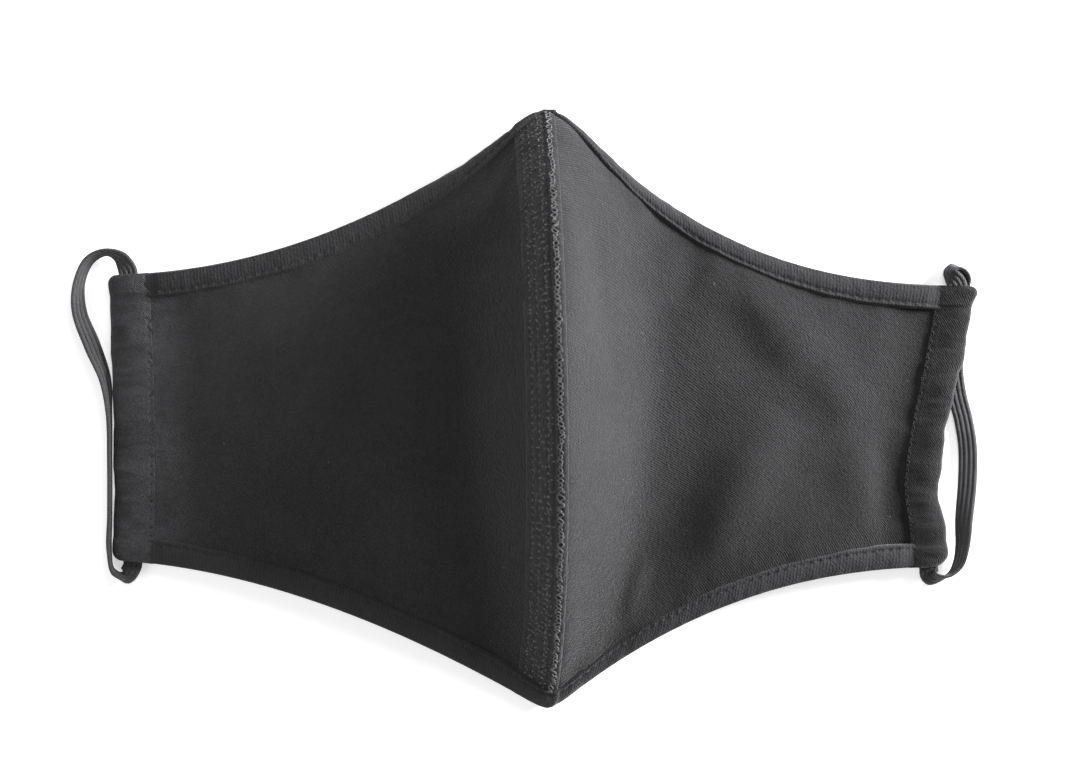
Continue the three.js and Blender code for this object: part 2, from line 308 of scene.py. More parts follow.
def loft(name: str, rings: Array, lie: Array, bore: Array | None = None) -> Piece:
    """A closed body through rings of points that run counter-clockwise about the way ahead.

    Args:
        name: the object's name.
        rings: stations by ring points by 3.
        lie: where each ring point lies on the cloth, stations by ring points by 2.
        bore: rings of a hole right through, the same shape, or None for plain ends.

    Returns:
        The new object.
    """
    stations, size = rings.shape[:2]
    skin = grid_quads(stations, size, wrap=True)
    first, last = np.arange(size), np.arange(size) + (stations - 1) * size
    if bore is None:
        faces = skin.tolist() + [first[::-1].tolist(), last.tolist()]
        return mesh_piece(name, rings, faces, lie)
    return two_faced(name, rings, bore, skin, [first, last[::-1]], lie)


def paint_shading(piece: Piece, painted_shading: Array) -> Piece:
    """Lays painted light and shade on a wall of two faces: how much lighter or darker its dye is drawn.

    Args:
        piece: the wall, whose second face has its vertices in the order of the first.
        painted_shading: the painted light (above nought) and shade (below) at each vertex of one face, as a
            share of the dye.

    Returns:
        The same object.
    """
    both = np.concatenate([painted_shading.ravel()] * 2).astype(np.float32)
    piece.data.attributes.new("painted_shading", "FLOAT", "POINT").data.foreach_set("value", both)
    return piece


# The shape of the open mask


@dataclass(frozen=True)
class LongEdge:
    """How a nose or chin edge runs: how far out its tip is and how round, how far it rises between
    tip and ear, how upright the ridge and the ear edge end there, and at the left and the right how
    far out its corner is and how hollow its sweep."""

    tip: float
    rounding: float
    arch: float
    full: float
    full_at_ear: float
    corner: tuple
    sweep: tuple


class Fold(NamedTuple):
    """A soft dent or swell: a rise along a line in plan, fading over a width."""

    start: tuple
    end: tuple
    width: float
    rise: float


@dataclass(frozen=True)
class MaskForm:
    """The outer face of the mask as it lies open."""

    half_width: float = 110
    left_half: float = 115
    right_half: float = 107
    rest: float = 2.5
    tent: float = 27.5
    tent_width: float = 21
    tent_flare: float = 8
    elbow: float = 8
    shoulder: float = 11
    end_turn: float = math.radians(84)
    ridge_rounding: float = 0.018
    ridge_start: float = 0.9
    ridge_lean: float = 4.3
    lean_to_chin: float = 0.25
    corner_lift: float = 1.6
    casing_start: float = 0.905
    past_corner: float = 0.8
    cloth: float = 1.2
    roll_width: float = 0.17
    roll_swell: float = 0.04
    roll_at: float = 0.86
    roll_spread: float = 0.12
    roll_tuck: float = 0.032
    nose: LongEdge = LongEdge(77.2, 0.045, 5, 1.45, 1.8, corner=(34.8, 31.8), sweep=(2.2, 2.7))
    chin: LongEdge = LongEdge(77.8, 0.02, 4, 2.3, 2, corner=(39, 40.6), sweep=(1.8, 2.32))
    left_ear: SmoothCurve = SmoothCurve([-42, -20, 10, 37], [-113.8, -113.4, -113.8, -115])
    right_ear: SmoothCurve = SmoothCurve([-42, -32, -20, -8, 10, 33], [106.6, 106.4, 104.6, 105.8, 109.8, 115])
    folds: tuple = (
        Fold((52, 40), (68, 10), 7.5, 2),
        Fold((62, 19), (84, -3), 7, 1.6),
        Fold((49, 29), (56, 8), 6, -0.8),
        Fold((61, 0), (38, -50), 8, 2.6),
        Fold((47, 6), (30, -42), 7, -0.7),
        Fold((40, 48), (36, 28), 4, -1.2),
        Fold((95, -8), (92, -32), 5, -2),
        Fold((80, -4), (88, -34), 5.5, 1.3),
        Fold((25, -36), (20, -58), 3, 1.5),
        Fold((13, 60), (19, 4), 3.5, -0.9),
        Fold((-6, 70), (-15, 50), 2, 1),
        Fold((-10, 53), (-32, 43), 7, 2.8),
        Fold((-36, 28), (-76, 4), 10, 1.1),
        Fold((-44, 5), (-86, -17), 9, 1),
    )

    def edge_value(self, name: str, across: Array, along: Array) -> Array:
        """A size of the nearer long edge, for this side where it differs between sides."""
        chin, nose = (
            np.where(across < 0, *np.broadcast_to(np.array(getattr(edge, name), float), 2))
            for edge in (self.chin, self.nose)
        )
        return np.where(along < 0, chin, nose)

    def reach(self, across: Array, along: Array) -> Array:
        """How far the long edge is from the centre line: its corner, plus the rest of the way to the
        tip times the sweep power of what is left of the way across. Near the nose tip the cloth
        swells out and then tucks in, so that its edge rolls under."""
        corner = self.edge_value("corner", across, along)
        sweep = self.edge_value("sweep", across, along)
        left = np.clip(1 - softened(across, self.edge_value("rounding", across, along)), 0, None)
        swell = self.roll_swell * bell(along - self.roll_at, self.roll_spread)
        roll = 1 + bell(across, self.roll_width) * (swell - self.roll_tuck * smoothstep(along, 0.9, 1))
        return (corner + (self.edge_value("tip", across, along) - corner) * left**sweep) * roll

    def lift(self, across: Array, along: Array) -> Array:
        """How far the loop under the right nose corner lifts the cloth."""
        return self.corner_lift * smoothstep(across, 0.6, self.casing_start) * smoothstep(along, -0.5, 0.15)

    def fold_rise(self, x: Array, y: Array) -> Array:
        """The rise of all folds at a place in plan: each is a bell of the distance to its line,
        full at the middle and nothing at both ends. Noise bends the lines a little."""
        rise = np.zeros(np.shape(x))
        x, y = x + 2.4 * value_noise(x, y, 19, 61), y + 2.4 * value_noise(x, y, 19, 62)
        for fold in self.folds:
            start, end = np.array(fold.start, float), np.array(fold.end, float)
            way = end - start
            share = np.clip(((x - start[0]) * way[0] + (y - start[1]) * way[1]) / (way @ way), 0, 1)
            away = np.hypot(x - start[0] - share * way[0], y - start[1] - share * way[1])
            rise += fold.rise * bell(away, fold.width) * (1 - (2 * share - 1) ** 2)
        return rise

    def face(self, across: Array, along: Array) -> Array:
        """Points of the outer face. In side view each line from chin to nose is the arc of a sine
        and a cosine power. In end view a steep tent falls from the ridge to a shoulder that is
        nearly flat and ends in a parabola at the ear."""
        across, along = np.broadcast_arrays(np.asarray(across, float), np.asarray(along, float))
        out = np.abs(across)
        turn = along * self.end_turn
        up = np.sin(turn) / math.sin(self.end_turn)
        y = up * self.reach(across, along)
        lean = self.ridge_lean * np.cos(turn) * (1 - self.lean_to_chin * up)
        level = up * self.edge_value("corner", across, along)
        ear = np.where(across < 0, self.left_ear(level), self.right_ear(level))
        x = lerp(self.ridge_start + lean, ear, out)
        rest = self.rest + self.lift(across, along)
        low = rest + self.edge_value("arch", across, along) * 4 * out * (1 - out)
        slope = softened(across, self.ridge_rounding)
        inside = 1 - slope * np.abs(ear) / (self.tent_width + self.tent_flare * along)
        tent = np.log1p(np.exp(self.elbow * inside)) / math.log1p(math.exp(self.elbow))
        crown = rest + self.shoulder * (1 - slope * slope) + self.tent * tent
        full_at_ear = self.edge_value("full_at_ear", across, along)
        full = lerp(self.edge_value("full", across, along), full_at_ear, out)
        end = math.cos(self.end_turn) ** full
        z = lerp(low, crown, (np.cos(turn) ** full - end) / (1 - end))
        fade = (1 - up**4) * (1 - smoothstep(out, 0.8, self.casing_start))
        return np.stack([x, y, z + fade * self.fold_rise(x, y)], axis=-1)

    def normal(self, across: Array, along: Array) -> Array:
        """The face's outward direction: the cross product of small steps across and along."""
        step = 1e-3
        high, low = np.minimum(along + step, 1), np.maximum(along - step, -1)
        sideways = self.face(across + step, along) - self.face(across - step, along)
        return unit(np.cross(sideways, self.face(across, high) - self.face(across, low)))

    def off_face(self, across: Array, along: Array, offset: Array) -> Array:
        """Points this far out from the face, along its normal."""
        offset = np.broadcast_to(offset, np.broadcast_shapes(np.shape(across), np.shape(along)))
        return self.face(across, along) + self.normal(across, along) * offset[..., None]

    def sewn(self, across: Array, along: Array, offset: Array, step: float) -> tuple:
        """Where stitches lie along the face: their points off it, the way ahead and the normal.

        Args:
            across: the share across of each stitch.
            along: its share along.
            offset: how far out from the face it is.
            step: share along over which the way ahead is taken.

        Returns:
            Points, ways ahead and normals.
        """
        ahead = unit(self.face(across, along + step) - self.face(across, along - step))
        return self.off_face(across, along, offset), ahead, self.normal(across, along)

    def casing_stretch(self, across: Array, along: Array) -> Array:
        """What brings a point of the face out so that the casing's mouth is past the corner."""
        return 1 + self.past_corner / self.edge_value("corner", across, along)

    def along_at(self, across: Array, edge: Edge, inset: float | Array) -> Array:
        """The share along of a point this far in from a long edge.

        Args:
            across: one share for each column.
            edge: the edge walked in from.
            inset: distance along the face, one for all columns or one each.

        Returns:
            One share along for each column, by straight lines between close samples.
        """
        across = np.asarray(across, float)
        shares = edge.value * (1 - np.linspace(0, 0.4, 500))
        walked = lengths_along(self.face(across[:, None], shares[None, :]), axis=1)
        inset = np.broadcast_to(inset, across.shape)[:, None]
        before = np.clip((walked < inset).sum(axis=1) - 1, 0, len(shares) - 2)
        column = np.arange(len(across))
        start, end = walked[column, before], walked[column, before + 1]
        share = (inset[:, 0] - start) / (end - start)
        return lerp(shares[before], shares[before + 1], share)

    def across_at(self, from_ridge: Array) -> Array:
        """The share across of points this far from the ridge, in millimetres."""
        return from_ridge / np.where(from_ridge < 0, self.left_half, self.right_half)

    def ridge_line(self, from_ridge: float, margin: float, spacing: float) -> tuple:
        """Places along the ridge, at a distance beside it.

        Args:
            from_ridge: distance to the right of the ridge.
            margin: distance left out at each end.
            spacing: distance between places.

        Returns:
            Shares along, and distances from the chin edge.
        """
        dense = np.linspace(-1, 1, SAMPLES)
        across = self.across_at(np.array([from_ridge]))
        walked = lengths_along(self.face(across, dense))
        at = np.arange(margin, walked[-1] - margin, spacing)
        return np.interp(at, walked, dense), at


# Finishes


class NodeDesk:
    """Short ways to add and join the nodes of one tree."""

    def __init__(self, tree: bpy.types.NodeTree) -> None:
        """Works on this tree."""
        self.tree = tree

    def add(self, kind: str, **settings: object) -> bpy.types.Node:
        """A new node of this type with its own settings."""
        node = self.tree.nodes.new(kind)
        for name, value in settings.items():
            setattr(node, name, value)
        return node

    def feed(self, socket: Socket, value: object) -> None:
        """Joins another socket to this one, or sets its value."""
        if isinstance(value, Socket):
            self.tree.links.new(value, socket)
        else:
            socket.default_value = value

    def fill(self, node: bpy.types.Node, values: dict) -> bpy.types.Node:
        """Feeds a node's inputs by name."""
        for name, value in values.items():
            self.feed(node.inputs[name], value)
        return node

    def maths(self, operation: str, *values: object) -> Socket:
        """The result of a Math node on these sockets or numbers."""
        node = self.add("ShaderNodeMath", operation=operation)
        for socket, value in zip(node.inputs, values):
            self.feed(socket, value)
        return node.outputs[0]

    def total(self, *parts: tuple) -> Socket:
        """The sum of sockets, each times its own number."""
        scaled = [value if share == 1 else self.maths("MULTIPLY", value, share) for value, share in parts]
        result = scaled[0]
        for value in scaled[1:]:
            result = self.maths("ADD", result, value)
        return result

    def wave(self, turns: object) -> Socket:
        """The sine of a value counted in turns."""
        return self.maths("SINE", self.maths("MULTIPLY", turns, TURN))

    def noise(self, vector: object, scale: object, detail: float, distortion: float = 0) -> Socket:
        """Smooth noise from 0 to 1 over a vector, this many cells a metre."""
        values = {"Vector": vector, "Scale": scale, "Detail": detail, "Distortion": distortion}
        return self.fill(self.add("ShaderNodeTexNoise"), values).outputs["Fac"]

    def ranged(self, value: object, low: object, high: object, to: tuple = (0, 1)) -> Socket:
        """A value carried from one range to another, held at its ends."""
        node = self.add("ShaderNodeMapRange")
        for socket, number in zip(node.inputs, (value, low, high, *to)):
            self.feed(socket, number)
        return node.outputs[0]

    def mix(self, factor: object, low: object, high: object) -> Socket:
        """The colour this far from one to another."""
        node = self.add("ShaderNodeMix", data_type="RGBA")
        return self.fill(node, {"Factor": factor, "A": low, "B": high}).outputs["Result"]

    def group(self, tree: bpy.types.NodeTree, **values: object) -> Socket:
        """The result of a node group placed with its own values."""
        return self.fill(self.add("ShaderNodeGroup", node_tree=tree), values).outputs[0]


def new_material(name: str) -> tuple:
    """A new material, a desk for its nodes and its main shader."""
    material = bpy.data.materials.new(name)
    material.use_nodes = True
    return material, NodeDesk(material.node_tree), material.node_tree.nodes["Principled BSDF"]


# Each weave's height at a place on its own cloth, from where that is as a vector, its two lengths
# and the pitch of the yarn.


def twill(desk: NodeDesk, lie: object, x: object, y: object, pitch: object) -> Socket:
    """Fine slanted ribs of yarn: a sine of the sum of both lengths, each rib broken into short
    humps by a sine of their difference, and uneven from yarn to yarn."""
    u, v = (desk.maths("DIVIDE", length, pitch) for length in (x, y))
    rib = desk.wave(desk.total((u, 1), (v, 0.8), (desk.noise(lie, 900, 1), 0.9)))
    hump = desk.wave(desk.maths("SUBTRACT", u, v))
    return desk.total((rib, 0.2), (hump, 0.13), (desk.noise(lie, 1500, 2), 1.3))


def ribbed(desk: NodeDesk, lie: object, x: object, y: object, pitch: object) -> Socket:
    """Fine knit ribs square to the edge: the size of a sine of the first length, with short
    stitches along each rib."""
    u, v = (desk.maths("DIVIDE", length, pitch) for length in (x, y))
    u = desk.total((u, 1), (desk.noise(lie, 600, 1), 0.5))
    rib = desk.maths("ABSOLUTE", desk.maths("SINE", desk.maths("MULTIPLY", u, math.pi)))
    stitch = desk.wave(desk.maths("ADD", v, u))
    return desk.total((rib, 0.6), (stitch, 0.12), (desk.noise(lie, 1300, 2), 1))


def braided(desk: NodeDesk, lie: object, x: object, y: object, pitch: object) -> Socket:
    """Elastic braid: small slanted stitches along the band that turn back at every rib."""
    side = desk.maths("PINGPONG", desk.maths("DIVIDE", y, BRAID_RIB), 0.5)
    stitch = desk.wave(desk.total((desk.maths("DIVIDE", x, pitch), 1), (side, 2)))
    return desk.total((stitch, 0.3), (desk.noise(lie, 1400, 2), 1))


def twisted(desk: NodeDesk, lie: object, x: object, y: object, pitch: object) -> Socket:
    """Sewing thread: plies that wind round it, as a sine of the sum of both lengths."""
    turns = desk.maths("DIVIDE", desk.maths("ADD", x, y), pitch)
    return desk.maths("MULTIPLY", desk.wave(turns), 0.5)


@dataclass
class ClothEffects:
    """The node groups that the finishes share, each built once."""

    groups: dict = field(default_factory=dict)

    def build(self) -> None:
        """Builds every group."""
        for weave, name, pitch, height in (
            (Weave.TWILL, "Twill weave", 0.0006, twill),
            (Weave.RIBBED, "Knit ribs", 0.0009, ribbed),
            (Weave.BRAIDED, "Elastic braid", 0.0007, braided),
            (Weave.TWISTED, "Thread twist", 0.0005, twisted),
        ):
            desk, given = self.start(weave, name, {"Lie": None, "Pitch": pitch})
            parts = desk.fill(desk.add("ShaderNodeSeparateXYZ"), {"Vector": given["Lie"]}).outputs
            self.close(desk, "Height", height(desk, given["Lie"], parts[0], parts[1], given["Pitch"]))
        desk, given = self.start("mottle", "Cloth mottle", {"Place": None, "Fine": 1400, "Broad": 45})
        self.close(desk, "Amount", self.mottle(desk, given))
        desk, given = self.start("lint", "Lint", {"Place": None, "Rarity": 0.8})
        self.close(desk, "Mask", self.lint(desk, given))

    def start(self, key: object, name: str, inputs: dict) -> tuple:
        """Starts a group with named sockets.

        Args:
            key: what the finishes know it by.
            name: the group's name.
            inputs: socket name to default value, or to None for a vector.

        Returns:
            A desk for the group, and the sockets of its inputs.
        """
        tree = bpy.data.node_groups.new(name, "ShaderNodeTree")
        for label, value in inputs.items():
            kind = "NodeSocketVector" if value is None else "NodeSocketFloat"
            socket = tree.interface.new_socket(label, in_out="INPUT", socket_type=kind)
            if value is not None:
                socket.default_value = value
        self.groups[key] = tree
        desk = NodeDesk(tree)
        return desk, desk.add("NodeGroupInput").outputs

    def close(self, desk: NodeDesk, label: str, result: Socket) -> None:
        """Gives a group its one output."""
        desk.tree.interface.new_socket(label, in_out="OUTPUT", socket_type="NodeSocketFloat")
        desk.fill(desk.add("NodeGroupOutput"), {label: result})

    def mottle(self, desk: NodeDesk, given: Sockets) -> Socket:
        """Uneven dye and nap: fine, middling and broad noise added together, from 0 to 1."""
        parts = (given["Fine"], 3, 0, 0.38), (420, 3, 0, 0.27), (given["Broad"], 2, 0.6, 0.35)
        return desk.total(
            *(
                (desk.ranged(desk.noise(given["Place"], scale, detail, distortion), 0.3, 0.7), share)
                for scale, detail, distortion, share in parts
            )
        )

    def lint(self, desk: NodeDesk, given: Sockets) -> Socket:
        """Sparse pale specks and fibres: the highest points of two noises, one drawn out."""
        speck = desk.noise(given["Place"], 620, 1)
        fibre = desk.noise(given["Place"], 260, 2, 3.5)
        specks = desk.ranged(speck, given["Rarity"], desk.maths("ADD", given["Rarity"], 0.03))
        return desk.maths("MAXIMUM", specks, desk.ranged(fibre, 0.8, 0.83))


@dataclass(frozen=True)
class Finish:
    """One cloth, cord or thread finish: its dye, weave and how strongly they show, over the painted light and
    shade laid on each piece.
    """

    name: str
    weave: Weave
    dark: tuple
    light: tuple
    pitch: float
    depth: float
    roughness: float = 0.93
    sheen: float = 0.2
    sheen_roughness: float = 0.4
    lint: float = 0.15
    fuzz: float = 0.00025

    def build(self, effects: ClothEffects) -> bpy.types.Material:
        """The material: mottled dye, drawn lighter or darker by the painted light and shade laid on each
        vertex, with specks of lint, a woven and fuzzy surface, and soft sheen.

        Args:
            effects: the shared node groups.

        Returns:
            The new material.
        """
        material, desk, shader = new_material(self.name)
        place = desk.add("ShaderNodeTexCoord").outputs["Object"]
        lie, painted_shading = (desk.add("ShaderNodeAttribute", attribute_name=name).outputs for name in ("lie", "painted_shading"))
        mottle = desk.group(effects.groups["mottle"], Place=place)
        weave = desk.group(effects.groups[self.weave], Lie=lie["Vector"], Pitch=self.pitch)
        lint = desk.group(effects.groups["lint"], Place=place)
        dye = desk.mix(desk.total((mottle, 0.55), (weave, 0.45)), (*self.dark, 1), (*self.light, 1))
        # Painted light and shade: the dye scaled by one plus the value laid on each vertex.
        shaded_dye = desk.add("ShaderNodeVectorMath", operation="SCALE")
        desk.feed(shaded_dye.inputs[0], dye)
        desk.feed(shaded_dye.inputs["Scale"], desk.maths("ADD", painted_shading["Fac"], 1))
        colour = desk.mix(desk.maths("MULTIPLY", lint, self.lint), shaded_dye.outputs["Vector"], LINT_COLOUR)
        woven, fuzzy = (
            desk.fill(desk.add("ShaderNodeBump"), {"Strength": 1, "Distance": distance, "Height": height})
            for distance, height in ((self.depth, weave), (self.fuzz, mottle))
        )
        desk.feed(fuzzy.inputs["Normal"], woven.outputs["Normal"])
        desk.fill(
            shader,
            {
                "Base Color": colour,
                "Roughness": desk.ranged(mottle, 0, 1, (self.roughness - 0.06, self.roughness + 0.05)),
                "Normal": fuzzy.outputs["Normal"],
                "Specular IOR Level": 0.25,
                "Sheen Weight": self.sheen,
                "Sheen Roughness": self.sheen_roughness,
                "Sheen Tint": SHEEN_TINT,
            },
        )
        return material


PANEL_CLOTH = Finish(
    "Charcoal twill", Weave.TWILL, (0.003, 0.003, 0.0034), (0.035, 0.035, 0.037), 0.0006, 0.00024
)
SEAM_CLOTH = Finish(
    "Charcoal seam band", Weave.TWILL, (0.004, 0.004, 0.0044), (0.034, 0.034, 0.036), 0.0006, 0.0003
)
BINDING_CLOTH = Finish(
    "Charcoal ribbed binding", Weave.RIBBED, (0.006, 0.006, 0.0065), (0.031, 0.031, 0.033), 0.0009, 0.00009
)
ELASTIC_BRAID = Finish(
    "Charcoal elastic", Weave.BRAIDED, (0.011, 0.011, 0.0116), (0.07, 0.07, 0.074), 0.0007, 0.0001,
    roughness=0.75, sheen=0.3, lint=0.05,
)
SEAM_THREAD = Finish(
    "Grey thread", Weave.TWISTED, (0.05, 0.05, 0.053), (0.27, 0.27, 0.275), 0.0005, 0.00004,
    roughness=0.7, sheen=0.2, lint=0,
)
HEM_THREAD = Finish(
    "Charcoal thread", Weave.TWISTED, (0.012, 0.012, 0.013), (0.05, 0.05, 0.053), 0.0005, 0.00004,
    roughness=0.8, sheen=0.2, lint=0,
)


# Sewn pieces


def dress(piece: Piece, material: bpy.types.Material, stands_for: str = "") -> Piece:
    """Gives a piece its material and its body, and hides the plain solid it stands for.

    Args:
        piece: the finished mesh.
        material: its material.
        stands_for: name of the plain solid, or nothing for an added piece.

    Returns:
        The piece.
    """
    piece.data.materials.append(material)
    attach(piece, "root")
    if stands_for:
        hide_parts(stands_for)
    log.info("%s: %d faces in %s", piece.name, len(piece.data.polygons), material.name)
    return piece


@dataclass
class Panel:
    """Half of the mask: two layers of cotton as one wall, from under the seam band to the casing."""

    form: MaskForm
    side: Side
    columns: int = 190
    rows: int = 250
    under_edge: float = 1.3
    pucker: float = 0.22
    gathered: float = 0.7
    dip: float = 0.3
    flat_metres: tuple = (0.108, 0.172)
    area_metres: float = 0.0122

    def build(self) -> Piece:
        """Lays the wall on the mask's face and adds small ripples: bells of the distance to each
        sewn line, times noise that is drawn out square to that line."""
        form = self.form
        share = np.linspace(0, 1, self.columns) ** 1.15
        across = self.side.value * lerp(0.002, form.casing_start + 0.004, share)[:: self.side.value]
        chin = form.along_at(across, Edge.CHIN, self.under_edge)
        nose = form.along_at(across, Edge.NOSE, self.under_edge)
        along = lerp(chin, nose, np.linspace(0, 1, self.rows)[:, None])
        across = np.broadcast_to(across, along.shape)
        bare = form.face(across, along)
        x, y = bare[..., 0], bare[..., 1]
        inset_nose = lengths_along(bare[::-1])[::-1]
        inset_chin = lengths_along(bare)
        from_ridge = np.abs(across) * form.half_width
        from_casing = (form.casing_start - np.abs(across)) * form.half_width
        wide = 0.25 * value_noise(x, y, 17, 3) + 0.1 * value_noise(x, y, 6.5, 4)
        hems = (bell(inset_nose - 5, 6) + bell(inset_chin - 5, 6)) * value_noise(x, y * 0.25, 4.2, 5)
        seam = bell(from_ridge - 2, 5) * value_noise(x * 0.3, y, 3.6, 6)
        casing = bell(from_casing, 5) * value_noise(x * 0.25, y, 2.6, 7)
        level = self.pucker * (hems + seam + self.gathered * casing) - self.dip * bell(from_casing - 5, 6.5)
        fade = smoothstep(from_ridge, 0, 4) * smoothstep(from_casing, -1, 1.5)
        outer = form.off_face(across, along, fade * (level + wide))
        inner = form.off_face(across, along, fade * (level + wide) - form.cloth)
        crosswise = lengths_along(bare, axis=1)
        if self.side is Side.LEFT:
            crosswise = crosswise - crosswise[:, -1:]
        lie = paired(crosswise, inset_chin)
        wall = cloth_wall(f"{self.side.label}_panel_cloth", outer, inner, lie)
        # Painted light and shade, laid on each vertex of the wall.
        return paint_shading(wall, self.painted_shading(x, y, from_casing))

    def painted_shading(self, x: Array, y: Array, from_casing: Array) -> Array:
        """Painted light and shade: the left panel drawn lighter beside its casing and darker near the seam; the
        right panel drawn darker beside its casing, around its middle and towards the chin, all with noise."""
        patchy = 1 + 0.4 * value_noise(x, y, 9, 41) + 0.3 * value_noise(x * 0.3, y, 1.6, 42)
        if self.side is Side.LEFT:
            return 0.75 * (1 - smoothstep(from_casing, 2, 12)) * patchy - 0.28 * (1 - smoothstep(-x, 12, 40))
        pressed = 0.3 * (1 - smoothstep(from_casing, 0, 15)) + 0.16 * bell(x - 45, 18)
        return -pressed * patchy - 0.33 * smoothstep(-y, 0, 50)


@dataclass
class SeamBand:
    """The stitched band that lies just left of the ridge, with a valley under each row of thread."""

    form: MaskForm
    left: float = -9.3
    right: float = 1.2
    proud: float = 0.6
    rows_at: tuple = (-7.6, -5.8, -3.4, -0.6)
    stitch_lengths: tuple = (0.7, 0.8, 0.95)
    pitch: float = 2

    def height(self, from_ridge: Array, at: Array) -> Array:
        """How proud the band is: full between its rounded sides, less a bell at each row that is
        deepest at the needle holes, with a little noise."""
        edge = np.minimum(from_ridge - self.left, self.right - from_ridge)
        ramp = np.where(from_ridge > -4, (self.right - from_ridge) / 2, (from_ridge - self.left) / 0.9)
        rounding = np.sqrt(1 - (1 - np.clip(ramp, 0, 1)) ** 2)
        body = lerp(0.12, self.proud, smoothstep(from_ridge, self.left, -1)) * rounding
        valley = sum(bell(from_ridge - row, 0.36) for row in self.rows_at) * 0.2 * needle_holes(at, self.pitch)
        trough = bell(from_ridge - self.rows_at[3] + 1.3, 0.4) * 0.25
        rough = 0.09 * value_noise(from_ridge, at, 0.9, 11) + 0.09 * value_noise(from_ridge, at, 2.3, 12)
        return body - (valley + trough - rough) * smoothstep(edge, 0, 0.8)

    def build(self) -> Piece:
        """Carries the band's closed section along the ridge from edge to edge."""
        form = self.form
        along, at = form.ridge_line(0, 1.4, 0.42)
        top = lerp(self.right, self.left, np.linspace(0, 1, 60))
        bottom = lerp(self.left, self.right, np.linspace(0, 1, 20)[1:-1])
        from_ridge = np.concatenate([top, bottom])
        grid_at, grid_from = np.meshgrid(at, from_ridge, indexing="ij")
        wobble = 0.1 * value_noise(grid_at, 0, 5, 13) * (grid_from < -6)
        under = -form.cloth - 0.35 * bell(bottom + 3.6, 4)
        upper = self.height(grid_from[:, : len(top)], grid_at[:, : len(top)])
        offset = np.hstack([upper, np.broadcast_to(under, (len(at), len(bottom)))])
        across = form.across_at(grid_from + wobble)
        rings = form.off_face(across, along[:, None], offset)[:, ::-1]
        lie = paired(grid_from, grid_at)[:, ::-1]
        return loft("centre_seam_band", rings, lie)


@dataclass
class Binding:
    """The ribbed strip folded over a long edge, with a puffed fold and a stitched inner margin."""

    form: MaskForm
    edge: Edge
    width: float = 5.7
    past: float = 0.8
    stitch_at: float = 4.5
    pitch: float = 2.4

    profile: SmoothCurve = SmoothCurve([0, 1.4, 3.4, 4.5, 5.2, 5.7], [0.72, 1, 0.92, 0.66, 0.78, 0.02])

    def rise(self, inset: Array, at: Array, from_ridge: Array) -> Array:
        """How far the strip stands off the face: its profile, less a bell at the stitch row that
        is deepest at the needle holes, plus noise, and more where the seam band passes under."""
        dip = 0.22 * bell(inset - self.stitch_at, 0.55) * needle_holes(at, self.pitch)
        rough = 0.1 * value_noise(at, inset, 2.9, 21) + 0.06 * value_noise(at, inset * 0.4, 1.2, 22)
        over_seam = 0.5 * smoothstep(from_ridge, -9.5, -7.5) * (1 - smoothstep(from_ridge, 0.8, 2))
        level = smoothstep(self.width - inset, 0, 0.35)
        return self.profile(inset) + level * (rough - dip + over_seam)

    def stations(self) -> tuple:
        """Shares across at even steps along the edge, and the distances along it."""
        end = self.form.casing_start + 0.03
        dense = np.linspace(-end, end, SAMPLES)
        walked = lengths_along(self.form.face(dense, float(self.edge.value)))
        at = np.arange(0, walked[-1], 0.5)
        return np.interp(at, walked, dense), at

    def build(self) -> Piece:
        """Carries the folded section along the edge. The top runs out to the fold, an ellipse takes
        it round, and the underside runs back."""
        form, end = self.form, float(self.edge.value)
        across, at = self.stations()
        insets = lerp(self.width, 0, np.linspace(0, 1, 24) ** 0.9)
        insets[-1] = 0
        from_ridge = across * form.half_width
        wobble = 0.16 * value_noise(at, 0, 4.5, 23)
        taper = 1 - 0.45 * smoothstep(np.abs(across), form.casing_start - 0.03, form.casing_start)
        top, bottom = [], []
        for inset in insets:
            along = form.along_at(across, self.edge, np.clip(inset + wobble * inset / self.width, 0, None))
            rise = self.rise(np.full(len(at), inset), at, from_ridge) * taper
            top.append(form.off_face(across, along, rise))
            bottom.append(form.off_face(across, along, -form.cloth - rise))
        edge_point = form.face(across, end)
        outwards = unit(edge_point - form.face(across, form.along_at(across, self.edge, 0.5)))
        normal = form.normal(across, np.full(len(across), end))
        half = (form.cloth / 2 + self.rise(np.zeros(len(at)), at, from_ridge) * taper)[:, None]
        fold = []
        for angle in np.linspace(0, math.pi, 14)[1:-1]:
            centre = edge_point - normal * form.cloth / 2
            fold.append(centre + normal * half * math.cos(angle) + outwards * self.past * math.sin(angle))
        rings = np.stack([*top, *fold, *bottom[::-1]], axis=1)
        fold_at = np.linspace(0, -3, 12)
        inset_of = np.concatenate([insets, fold_at, fold_at[-1] - insets[::-1]])
        lie = paired(at[:, None], inset_of)
        way = self.edge.value
        return loft(f"{self.edge.label}_binding_strip", rings[:, ::way], lie[:, ::way])


